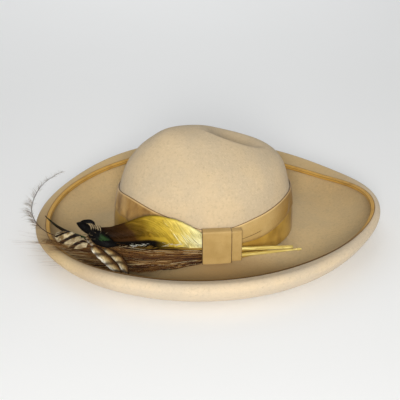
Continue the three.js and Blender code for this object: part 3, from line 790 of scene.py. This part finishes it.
class Spray:
    # a mesh of thin vanes and strands
    def __init__(self, sides, cuts):
        self.bm = bmesh.new()
        self.layers = [self.bm.verts.layers.float.new(name) for name in pointMarks]
        bmesh.ops.create_cone(self.bm, cap_ends=True, cap_tris=True, segments=sides, radius1=1, radius2=1,
                              depth=1)
        upright = [e for e in self.bm.edges if abs(e.verts[0].co.z - e.verts[1].co.z) > 0.5]
        bmesh.ops.subdivide_edges(self.bm, edges=upright, cuts=cuts)
        self.seed = self.bm.verts[:] + self.bm.edges[:] + self.bm.faces[:]

    def mark(self, v, *marks):
        for layer, value in zip(self.layers, marks):
            v[layer] = value

    def newTube(self):
        return vertsOf(bmesh.ops.duplicate(self.bm, geom=self.seed)["geom"])

    def strand(self, points, wide, thick=None, along=(0, 1), across=(0, 0), tone=0.5, tip=0.1, root=0.7):
        # tapers from root and to tip, both as shares of its full width
        thick = thick or wide
        rings = {}
        for v in self.newTube():
            t = round(v.co.z + 0.5, 3)
            if t not in rings:
                ahead = (onCurve(points, t + 0.02) - onCurve(points, t - 0.02)).normalized()
                side = ahead.cross(strandFace).normalized()
                size = mix(root, 1, min(t * 4, 1)) if t < 0.5 else mix(1, tip, (t - 0.5) * 2)
                rings[t] = onCurve(points, t), side, side.cross(ahead), size
            centre, side, out, size = rings[t]
            v.co = place(centre + side * (v.co.x * wide * size / 2) + out * (v.co.y * thick * size / 2))
            self.mark(v, mix(*along, t), mix(*across, t), tone)

    def vane(self, surface, parts, thick, tone):
        grid = bmesh.ops.create_grid(self.bm, x_segments=parts[0], y_segments=parts[1], size=0.5)["verts"]
        faces = dict.fromkeys(f for v in grid for f in v.link_faces)
        for v in grid:
            u, w = v.co.x + 0.5, v.co.y
            v.co = place(surface(u, w))
            self.mark(v, u, w, tone)
        bmesh.ops.solidify(self.bm, geom=list(faces), thickness=thick * mm)

    def barbs(self, surface, count, sweep, ends, wide, height, tones, span, starts=(-0.02, 0.02)):
        # each barb leaves at starts and sweeps to an end across the vane
        for _ in range(count):
            u0, v0, v1 = draw.uniform(*span), draw.uniform(*starts), draw.uniform(*ends)
            u1 = u0 + sweep * abs(v1 - v0) * draw.uniform(0.8, 1.2)
            lift = height * draw.uniform(0.5, 1.3)
            points = []
            for t in quarters:
                u = min(max(mix(u0, u1, t ** 1.15), 0.0), barb["farthest"])
                points.append(surface(u, mix(v0, v1, t), lift * math.sin(0.4 + 2.3 * t)))
            self.strand(points, wide * draw.uniform(0.7, 1.3), barb["thick"], along=(u0, u1), across=(v0, v1),
                        tone=draw.uniform(*tones))

    def leaf(self, rows, face, bulge, barbs, seed, tones=(0.2, 0.6), wide=0.7, sweep=0.45, parts=(16, 8)):
        # a small vane with a fringe of barbs down both edges
        surface = surfaceOn(rows, face, bulge, 0.4, seed, 0.24)
        self.vane(surface, parts, 0.35, mix(*tones, 0.3))
        for ends in ((0.38, 0.6), (-0.6, -0.38)):
            self.barbs(surface, barbs // 2, sweep, ends, wide, 0.4, tones, (0.0, 0.92))
        self.strand([surface(t, 0, 0.3) for t in quarters], 0.5, 0.4, tone=tones[0])

    def finish(self, name, material, slot, nodes):
        bmesh.ops.delete(self.bm, geom=vertsOf(self.seed), context="VERTS")
        bmesh.ops.recalc_face_normals(self.bm, faces=self.bm.faces)
        finishPiece(name, self.bm, material, slot, nodes)


# gold feather with its quill
gold = {
    "vane": [(4, -93.2, 37, 8), (-14, -93, 43, 17), (-30, -90.5, 47.5, 27), (-46, -86.5, 50, 33),
             (-67, -80.5, 51.5, 33), (-89, -76, 46.5, 27), (-106, -72.5, 43.5, 21), (-124, -68, 45.0, 12)],
    "quill": [(89, -93, 29), (60, -92.8, 29.4), (32, -92.4, 29.8), (8, -92.2, 32), (-14, -91, 37),
              (-34, -88, 42)],
    "quillWidth": 4.3,
    "face": (-0.25, -1, 0.25),
    "barbs": [  # count, sweep, ends across, width, height, tones, span along, starts across
        (190, 0.24, (0.2, 0.53), 0.9, 0.6, (0.1, 0.7), (-0.06, 0.38), (-0.48, -0.15)),
        (190, 0.36, (0.25, 0.53), 0.9, 0.6, (0.1, 0.7), (0.30, 0.9), (-0.20, -0.02)),
        (30, 0.30, (0.0, 0.4), 1.5, 0.8, (0.8, 1.0), (-0.08, 0.30), (-0.48, -0.1)),
        (190, 0.35, (-0.66, -0.48), 0.8, 0.7, (0.0, 0.3), (0.42, 0.92), (-0.42, -0.3)),
        (95, 0.4, (0.3, 0.5), 0.9, -1.1, (0.1, 0.6), (0.0, 0.9), (-0.5, -0.1))],
    "glints": 64,
    "tufts": (0.30, 0.33, 0.36, 0.395, 0.43, 0.60, 0.64, 0.68, 0.72),
    "lowLine": (-0.33, -0.38, -0.43, -0.47, -0.50),  # how far across the tufts lie, from 0.30 to 0.72 along
}
goldFinish = Finish("goldPlume", Specular_IOR_Level=0.09)
along, across, tone = goldFinish.marks()
wander = goldFinish.noise(60, 2) * 0.16 - 0.08
plumeTone = goldFinish.ramp(along + wander - across * 0.10, (0.0, 244, 236, 176), (0.20, 242, 230, 158),
                            (0.34, 226, 202, 98), (0.46, 206, 174, 56), (0.59, 130, 100, 20),
                            (0.70, 60, 34, 5), (1.0, 24, 12, 3))
plumeTone = goldFinish.coats(
    plumeTone, (tint(84, 62, 16), (0.42 - tone).between(0.0, 0.42) * (1 - along) * 0.5),
    (tint(12, 8, 5), (-0.26 - across).between(0.0, 0.10) * along.between(0.36, 0.54)),
    (tint(250, 246, 206), (tone - along * 0.7).between(0.5, 0.75) * 0.6),
    (tint(236, 234, 230), tone.between(1.4, 2.0)))
goldFinish.set(Base_Color=plumeTone, Roughness=0.36 + goldFinish.noise(300) * 0.2,
               Normal=goldFinish.relief(goldFinish.noise(900, 2), 0.2, 0.0002))
surface = surfaceOn(gold["vane"], gold["face"], 0.09, 1.2, 3.0, 0.05)
spray = Spray(3, 5)
spray.vane(surface, (44, 12), 0.5, 0.4)
for row in gold["barbs"]:
    spray.barbs(surface, *row)
for _ in range(gold["glints"]):
    start = draw.choice(gold["tufts"]) + draw.gauss(0, 0.02)
    low = onCurve(gold["lowLine"], (start - 0.3) / 0.42) + draw.gauss(0, 0.03)
    step, drop = draw.uniform(0.004, 0.018), draw.uniform(-0.035, 0.03)
    points = [surface(start + t * step, low + t * drop, 1.3 + 0.3 * t) for t in (0, 1, 2)]
    wide, shine = draw.uniform(0.18, 0.42), draw.uniform(1.45, 1.85)
    spray.strand(points, wide, 0.25, along=(start, start), across=(low, low), tone=shine)
spray.finish("gold_plume", goldFinish, "gold_plume", ["gold_feather"])

quillFinish = Finish("quillHorn", Coat_Weight=0.1, Specular_IOR_Level=0.3)
streak = quillFinish.noise(1.0, 2, at=quillFinish.stretched((40, 700, 700)))
quillTone = quillFinish.coats(tint(182, 154, 70), (tint(226, 206, 124), streak.between(0.4, 0.65)),
                              (tint(134, 106, 44), quillFinish.noise(120, 2).between(0.55, 0.75) * 0.5))
quillFinish.set(Base_Color=quillTone, Normal=quillFinish.relief(streak, 0.3, 0.0003),
                Roughness=0.26 + streak * 0.2)
spray = Spray(12, 22)
spray.strand(vectors(gold["quill"]), gold["quillWidth"], tip=0.25, root=0.92)
spray.finish("gold_quill", quillFinish, "gold_plume", ["gold_feather"])

# bunch of bristles: the locks' routes from the keeper outwards, top to bottom
bunch = {
    "locks": [  # height at the keeper, place passed over, tip
        (30, (-80, -82, 28), (-142, -63, 32)), (27, (-80, -84, 26), (-176, -62, 35.5)),
        (24, (-80, -88, 23.5), (-176, -64, 34)), (22, (-80, -88, 20), (-160, -67, 27)),
        (20.5, (-80, -90, 16.5), (-150, -76, 18)), (19, (-80, -92, 14.5), (-134, -86, 13.5)),
        (17.5, (-70, -94, 13.5), (-114, -93, 12)), (16.5, (-55, -94.5, 13), (-92, -95, 11)),
        (16, (-44, -94, 13.5), (-70, -96, 11))],
    "root": (-6, -93.4),
    "count": 1150,
    "tones": [  # up to each share of the strands, the range of their tones
        (0.48, (0.0, 0.3)), (0.86, (0.35, 0.65)), (1.0, (0.75, 1.1))],
    "thickLocks": 44,
    "hairs": 95,
    "farthest": -221.0,
    "quill": [(99, -93, 26, 1.6), (95, -93, 25.8, 3.4), (91, -93, 25.6, 2.2), (60, -93, 24, 3.8),
              (34, -92.8, 22.6, 4.6), (-10, -93.5, 22, 4.2)],
}
bristleFinish = Finish("bristle", Specular_IOR_Level=0.14)
tone = bristleFinish.attribute("tone")
mottle = bristleFinish.noise(1.0, 2, at=bristleFinish.stretched((30, 200, 200)))
bristleTone = bristleFinish.ramp(tone + mottle * 0.3 - 0.15, (0.0, 30, 15, 6), (0.30, 92, 54, 24),
                                 (0.55, 154, 108, 52), (0.78, 210, 168, 96), (1.0, 244, 222, 170))
bristleFinish.set(Base_Color=bristleTone, Roughness=0.38 + mottle * 0.2)


def bristleRoute(lock, spread):
    locks = bunch["locks"]
    rootZ = onCurve([k[0] for k in locks], lock)
    over, tip = [onCurve([Vector(k[part]) for k in locks], lock) for part in (1, 2)]
    wobble = [Vector([draw.gauss(0, 1) for _ in range(3)]) for _ in range(4)]
    rootX, rootY = bunch["root"]
    root = Vector((rootX, rootY + 0.9 * draw.uniform(-1, 1), rootZ))
    over = over + Vector((0, wobble[0].y * 1.6, wobble[0].z * 1.2)) * spread
    tip = tip + Vector((wobble[1].x * 12, wobble[1].y * 3.0, abs(wobble[1].z) * 1.4 - 0.6)) * spread
    near = root.lerp(over, 0.3) + Vector((0, -1.2 + wobble[2].y * 0.6, wobble[2].z * 0.7))
    half = root.lerp(over, 0.7) + Vector((0, -0.8 + wobble[3].y * 0.7, wobble[3].z * 1.0))
    far = over.lerp(tip, 0.55) + Vector((0, wobble[2].x * 1.2, wobble[2].z * 1.1)) * spread
    tip.x = max(tip.x, bunch["farthest"])
    return [root, near, half, over, far, tip]


spray = Spray(3, 9)
for _ in range(bunch["count"]):
    spread, kind = draw.uniform(0.5, 1.3), draw.random()
    pale = draw.uniform(*next(tones for share, tones in bunch["tones"] if kind < share))
    route = bristleRoute(draw.random() ** 0.85, spread)
    spray.strand(route, draw.uniform(0.45, 0.8) - 0.3 * pale, 0.3, tip=0.15, tone=pale)
for _ in range(bunch["thickLocks"]):
    route = bristleRoute(draw.random() * 0.9, 0.4)
    spray.strand(route, 2.0, 1.6, tip=0.1, root=0.8, tone=draw.uniform(0.0, 0.2))
for _ in range(bunch["hairs"]):
    # loose hairs over the rim and out on the brim
    lock = draw.random()
    route = bristleRoute(lock, 1.0)
    if lock < 0.55:
        route[5] += drawn((-40, -6), (-14, 4), (0, 10))
        route[4] += drawn((-8, 0), (-5, 1), (3, 7))
    else:
        route[5] += drawn((-4, 30), (-24, -4), (-1, 5))
        route[4] += drawn((0, 8), (-8, -1), (0, 2))
    route[5].x = max(route[5].x, bunch["farthest"])
    spray.strand(route, 0.24, 0.2, tip=0.3, tone=draw.uniform(0.15, 0.6))
spray.finish("bristle_spray", bristleFinish, "bristle", ["bristle_bunch"])

spray = Spray(10, 26)
points = vectors(bunch["quill"])
for v in spray.newTube():
    t = v.co.z + 0.5
    width = max(onCurve([p[3] for p in bunch["quill"]], t), 0.6)
    v.co = place(onCurve(points, t) + Vector((0, v.co.x, v.co.y)) * width / 2)
spray.finish("bristle_quill", quillFinish, "gold_plume", ["bristle_bunch"])

# black feather: small glossy leaves, the top one rolled over, with pale stripes in its hollow
black = {
    "face": (-0.1, -0.9, 0.45),
    "body": [(-107.8, -77.5, 36.0, 6), (-115.3, -77.0, 39.2, 12), (-123.7, -74.0, 43.7, 13.5),
             (-131.1, -70.5, 48.4, 10), (-137.4, -67.5, 51.5, 3)],
    "low": [(-104, -80.0, 35.5, 3), (-113.5, -79.5, 37.0, 8), (-124.0, -77.0, 39.5, 8),
            (-132.4, -73.0, 44.2, 3)],
    "lobe": [(-128.0, -71.0, 45.4, 5), (-134.2, -68.5, 50.0, 9), (-139.5, -66.5, 53.6, 8.5),
             (-143.7, -65.0, 55.5, 5), (-146.1, -64.0, 56.1, 1.5)],
    "brow": [(-143.8, -63.5, 55.7, 2), (-138.2, -63.5, 57.4, 4.5), (-132.8, -64.0, 57.7, 5),
             (-128.5, -65.0, 56.5, 3.5), (-127.0, -66.0, 53.9, 1.5)],
    "plain": (1.21, 1.25),  # tones past 1.2 are plain black, and past 1.5 pale
    "stripes": 11,
    "fray": 110,
    "frayTones": (1.22, 1.22, 1.22, 1.22, 1.66),
}
blackFinish = Finish("blackPlume", Specular_IOR_Level=0.09)
along, across, tone = blackFinish.marks()
green = along.between(0.10, 0.24) * (1 - along.between(0.36, 0.52)) * (1 - tone.over(1.2))
green = green * (0.42 - across.size()).between(0.0, 0.25)
blackTone = blackFinish.coats(
    tint(9, 7, 6), (tint(50, 36, 22), tone.between(0.4, 1.0) * (1 - tone.over(1.1))),
    (tint(44, 72, 34), green * 0.85), (tint(204, 180, 138), tone.between(1.5, 1.9)))
blackFinish.set(Base_Color=blackTone, Roughness=0.38 + blackFinish.noise(400) * 0.3)
spray = Spray(3, 6)
spray.leaf(black["body"], black["face"], 0.14, 110, seed=1.0, wide=0.9)
spray.leaf(black["low"], black["face"], 0.14, 60, seed=2.0, tones=black["plain"])
spray.leaf(black["lobe"], black["face"], 0.22, 60, seed=3.0, tones=black["plain"], wide=0.9)
spray.leaf(black["brow"], (0, -0.4, 0.9), 0.25, 40, seed=4.0, tones=black["plain"])
for k in range(black["stripes"]):
    # bent stripes from the hollow of the roll down to the body, pale and dark by turns
    share = k / (black["stripes"] - 1)
    top = Vector((mix(-134.5, -121.5, share), -67.5 - 1.5 * share, 57.2 - 2.6 * share))
    foot = Vector((mix(-132.5, -120.5, share), -70.5 - 1.5 * share, 48.6 - 1.6 * share))
    middle = top.lerp(foot, 0.5) + Vector((1.6, -1.2, 0.6))
    shine = draw.uniform(1.62, 1.8) if k % 2 else 1.22
    spray.strand([top, middle, foot], 0.95, 0.4, tip=0.3, root=0.3, tone=shine)
for _ in range(black["fray"]):
    # frayed ends about the roll and the body
    root = drawn((-136, -112), (-78, -70), (38, 50))
    lean = drawn((-1, 1), (-0.3, 0.3), (-0.7, 1)).normalized()
    spray.strand([root, root + lean * 2.2, root + lean * draw.uniform(3, 5.5)], 0.4, 0.25,
                 tone=draw.choice(black["frayTones"]))
spray.finish("black_plume", blackFinish, "black_plume", ["black_feather"])

# small barred feathers: one broad leaf with dark bars, and golden lobes laid over each other
barred = {
    "face": (0, -0.8, 0.6),
    "leaf": [(-136.1, -75.2, 34.0, 5), (-143.7, -72.2, 35.9, 13), (-152.4, -68.2, 37.4, 17),
             (-160.0, -65.2, 39.4, 16.5), (-166.7, -61.2, 40.1, 11), (-170.6, -58.7, 40.9, 3)],
    # place along, slant and half the width of each bar of the leaf, and of each band of the lobes
    "bars": [(0.95, 0.5, 0.050), (0.77, 0.42, 0.058), (0.49, 0.35, 0.068), (0.20, 0.3, 0.060)],
    "lobes": [
        [(-130.7, -79.5, 34.8, 5), (-126.5, -84.0, 32.6, 8.5), (-121.3, -88.5, 29.6, 9.5),
         (-115.6, -93.5, 26.0, 10), (-109.9, -100.0, 22.8, 10), (-104.8, -107.0, 20.7, 7.5),
         (-100.7, -113.0, 19.0, 1.5)],
        [(-116.7, -80.0, 32.2, 4), (-112.5, -86.0, 30.8, 8), (-107.6, -90.5, 28.4, 9),
         (-103.1, -94.5, 26.2, 10), (-99.1, -101.0, 23.7, 10), (-95.7, -110.0, 21.9, 7.5),
         (-92.9, -118.0, 19.6, 1.5)]],
    "bands": [(0.02, 0.0, 0.12), (0.36, 0.25, 0.11), (0.66, 0.2, 0.10), (0.98, 0.2, 0.14)],
    "scraps": [[(-136.2, -71.5, 43.2, 4), (-132.1, -74.0, 39.0, 7), (-126.4, -77.0, 33.2, 4)],
               [(-138.6, -72.5, 28.5, 2), (-132.1, -75.5, 29.2, 4.5), (-124.3, -78.5, 31.0, 5),
                (-119.9, -80.0, 32.8, 2)]],
    "thread": [(-157.8, -66.0, 20.2), (-155.5, -66.5, 22.8), (-152.1, -67.5, 24.4), (-144.3, -69.5, 25.2),
               (-137.7, -72.0, 26.7)],
}


def lobeTone(finish):
    along, across, tone = finish.marks()
    shade = finish.ramp(across + finish.noise(160, 2) * 0.2 - 0.1 + 0.5, (0.0, 38, 22, 10), (0.2, 84, 54, 24),
                        (0.36, 158, 122, 70), (0.55, 210, 184, 130), (0.76, 230, 212, 168),
                        (0.92, 250, 244, 226))
    wander = finish.noise(240, 3) * 0.12 - 0.06
    for middle, slant, width in barred["bands"]:
        off = (along + across * slant + wander - middle).size()
        shade = finish.blend(shade, tint(62, 39, 18), (width - off).between(0.0, 0.10) * 0.88)
    return finish.blend(shade, tint(66, 42, 20), (tone - 0.3).between(0.0, 0.3) * 0.7)


leafFinish = Finish("barredLeaf", Specular_IOR_Level=0.12)
along, across, tone = leafFinish.marks()
wander = leafFinish.noise(260, 3) * 0.10 - 0.05
barTone = leafFinish.coats(
    tint(208, 192, 154), (tint(130, 106, 68), leafFinish.noise(130, 3).between(0.42, 0.62)),
    (tint(120, 96, 62), tone.between(0.3, 0.6) * 0.6))
for middle, slant, width in barred["bars"]:
    off = (along + across * slant + wander - middle).size()
    barTone = leafFinish.blend(barTone, tint(30, 18, 10), (width - off).between(0.0, 0.016))
barTone = leafFinish.blend(lobeTone(leafFinish), barTone, 1 - tone.over(0.9))
leafFinish.set(Base_Color=barTone, Roughness=0.42 + leafFinish.noise(300) * 0.1)
lobeFinish = Finish("barredLobe", Specular_IOR_Level=0.12)
lobeFinish.set(Base_Color=lobeTone(lobeFinish), Roughness=0.42 + lobeFinish.noise(300) * 0.1)
spray = Spray(3, 4)
spray.leaf(barred["leaf"], barred["face"], 0.2, 130, seed=5.0, sweep=0.3, parts=(24, 10))
for k, rows in enumerate(barred["scraps"]):
    spray.leaf(rows, barred["face"], 0.2, 40, seed=6.0 + k, tones=(0.95, 1.0), parts=(10, 6))
spray.strand(vectors(barred["thread"]), 1.1, 0.6, tip=0.4, tone=0.3, along=(0.45, 0.46))
spray.finish("barred_plume_1", leafFinish, "barred_plume", ["barred_feather_1"])
for k, rows in enumerate(barred["lobes"]):
    spray = Spray(3, 4)
    spray.leaf(rows, barred["face"], 0.08, 260, seed=9.0 + k, tones=(0.1, 0.6), wide=0.45, parts=(28, 10))
    spray.finish(f"barred_plume_{k + 2}", lobeFinish, "barred_plume", [f"barred_feather_{k + 2}"])

# spike: a dark narrow feather standing off to the back
spike = {
    "rows": [(-124, -66, 31), (-134, -58, 31.5), (-148, -48, 32.5), (-160, -39, 33.5), (-170, -30, 36),
             (-178, -20, 38.5), (-184, -11, 40.5)],
    "width": 4.2,
    "barbs": 150,
}
points = vectors(spike["rows"])
spray = Spray(4, 8)
spray.strand(points, spike["width"], 1.2, tip=0.2, tone=0.75)
for _ in range(spike["barbs"]):
    t = draw.uniform(0.25, 0.88)
    root = onCurve(points, t)
    ahead = (onCurve(points, t + 0.05) - root).normalized()
    side = drawn((-1, 1), (-1, 1), (-0.4, 1)) * 0.22
    reach = draw.uniform(3, 7) * (0.6 + 0.5 * bump(t, 0.55, 0.18))
    end = root + (ahead + side).normalized() * reach
    spray.strand([root, root.lerp(end, 0.5) + ahead * 0.6, end], 0.6, 0.3, tone=draw.uniform(0.4, 1.0))
spray.finish("spike_plume", blackFinish, "black_plume", ["spike_feather"])

# curled wisp: a fine stem with hair-thin barbs, most of them on its outer side
wisp = {
    "stem": [(-112, -71.5, 30), (-130, -65.5, 31.5), (-150, -57.5, 33.5), (-177, -45, 34.5),
             (-194, -22, 38.5), (-199.5, 4, 45.5), (-191, 34, 55), (-176, 54, 60), (-164, 64, 62)],
    "tufts": (0.46, 0.50, 0.54, 0.585, 0.63, 0.68, 0.74, 0.82),
    "tuftBarbs": 20,
    "outer": 70,
    "inner": 60,
}
wispFinish = Finish("wispHair", Specular_IOR_Level=0.2)
tone = wispFinish.attribute("tone")
wispTone = wispFinish.blend(tint(58, 40, 24), tint(158, 134, 104), tone.between(0.0, 1.0))
wispFinish.set(Base_Color=wispTone, Roughness=0.5 + wispFinish.noise(200) * 0.2)
points = vectors(wisp["stem"])
spray = Spray(5, 24)
spray.strand(points, 0.95, tip=0.25, tone=0.05)
spray.finish("wisp_stem", wispFinish, "bristle", ["curled_wisp"])
spray = Spray(3, 4)


def wispBarb(t, outwards, reach, lean, wide):
    root = onCurve(points, t)
    ahead = (onCurve(points, t + 0.02) - root).normalized()
    outer = Vector((-ahead.y, ahead.x, 0)) * outwards
    swing = drawn((-0.15, 0.15), (-0.15, 0.15), (-0.35, 0.3))
    end = root + (outer + ahead * lean + swing).normalized() * reach
    middle = root.lerp(end, 0.5) + ahead * 0.1 * reach
    spray.strand([root, middle, end], wide, 0.15, tip=0.3, tone=draw.uniform(0.1, 0.9))


for tuft in wisp["tufts"]:
    lean = draw.uniform(0.5, 1.1)
    for _ in range(wisp["tuftBarbs"]):
        size = 0.6 + 0.6 * bump(tuft, 0.6, 0.13)
        wispBarb(tuft + draw.gauss(0, 0.016), 1, draw.uniform(7, 15) * size, lean + draw.gauss(0, 0.3), 0.2)
for _ in range(wisp["outer"]):
    wispBarb(mix(0.42, 0.97, draw.random() ** 1.4), 1, draw.uniform(3, 11), draw.uniform(0.5, 1.4), 0.15)
for _ in range(wisp["inner"]):
    wispBarb(draw.uniform(0.42, 0.97), -1, draw.uniform(3, 8), draw.uniform(0.8, 1.8), 0.13)
spray.finish("wisp_barbs", wispFinish, "bristle", ["curled_wisp"])

# floor and light
room = {
    "floorReach": 6.0,  # metres from its middle to an edge
    "floorTones": ((0.935, 0.935, 0.925), (0.955, 0.955, 0.95)),
    "sky": (0.86, 0.88, 0.9, 1),
    "skyStrength": 0.30,
}
floorData = bpy.data.meshes.new("floor")
bm = bmesh.new()
bmesh.ops.create_grid(bm, x_segments=1, y_segments=1, size=room["floorReach"])
bm.to_mesh(floorData)
bm.free()
floor = newObject("floor", floorData)
floorFinish = Finish("paleFloor", Roughness=0.8, Specular_IOR_Level=0.2)
floorFinish.set(Base_Color=floorFinish.blend(*room["floorTones"], floorFinish.noise(3, 2)))
floorData.materials.append(floorFinish.material)

middle = (0, 0, 0.05)
lights = [  # name, place in metres, what it is turned to, size, watts, spread in degrees, colour
    ("key", (-0.25, -1.95, 0.80), middle, 0.6, 17.3, 120, (1.0, 0.985, 0.96)),
    ("fillRight", (1.6, -0.7, 1.2), middle, 1.3, 3.5, 180, (1.0, 1.0, 1.0)),
    ("fillLeft", (-1.7, -0.3, 1.2), middle, 1.3, 2, 180, (0.97, 0.985, 1.0)),
    ("back", (0.2, 1.6, 1.6), middle, 1.6, 2.5, 180, (0.97, 0.985, 1.0)),
    ("farFloor", (0, 1.7, 1.0), (0, 1.6, 0), 1.6, 7, 180, (0.98, 0.99, 1.0)),
    ("overhead", (0, 0.2, 2.4), middle, 2.0, 6, 180, (0.98, 0.99, 1.0)),
]
for name, spot, target, size, power, spread, colour in lights:
    data = bpy.data.lights.new(name, "AREA")
    data.size, data.energy, data.color = size, power, colour
    data.spread = math.radians(spread)
    lamp = newObject(name, data)
    lamp.location = spot
    lamp.rotation_euler = (Vector(target) - Vector(spot)).to_track_quat("-Z", "Y").to_euler()
world = bpy.data.worlds.new("room")
bpy.context.scene.world = world
world.use_nodes = True
background = world.node_tree.nodes["Background"].inputs
background["Color"].default_value, background["Strength"].default_value = room["sky"], room["skyStrength"]
bpy.context.scene.view_settings.view_transform = "Standard"
print("floor and", len(lights), "lights set")
